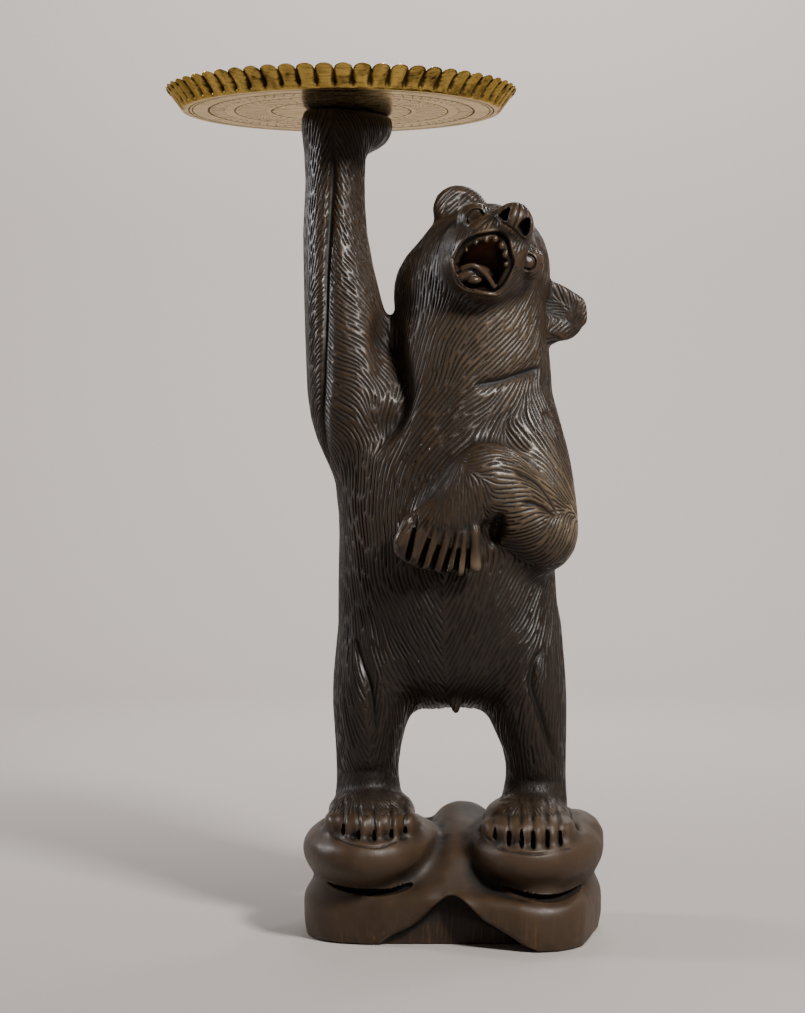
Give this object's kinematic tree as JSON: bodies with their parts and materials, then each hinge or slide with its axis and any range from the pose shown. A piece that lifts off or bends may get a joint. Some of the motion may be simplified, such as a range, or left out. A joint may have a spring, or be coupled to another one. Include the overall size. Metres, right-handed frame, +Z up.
{
  "type": "carved wooden bear with tray",
  "caption": "Standing bear carved with its rocky base from one block of dark wood, one arm raised flat under a round brass tray with a lobed rim.",
  "frame": {"origin": "middle of the block's flat underside, on the floor", "axes": "+Z up, -Y the way the bear faces, +X towards the bear's left"},
  "size_m": [0.4408, 0.3528, 0.844],
  "materials": {
    "wood": "dark waxed carved wood, worn lighter on high edges",
    "brass": "polished brass, engraved, with dark patina in the rim"
  },
  "bodies": {
    "root": {"carved_bear": "wood", "brass_tray": "brass"}
  },
  "joints": []
}
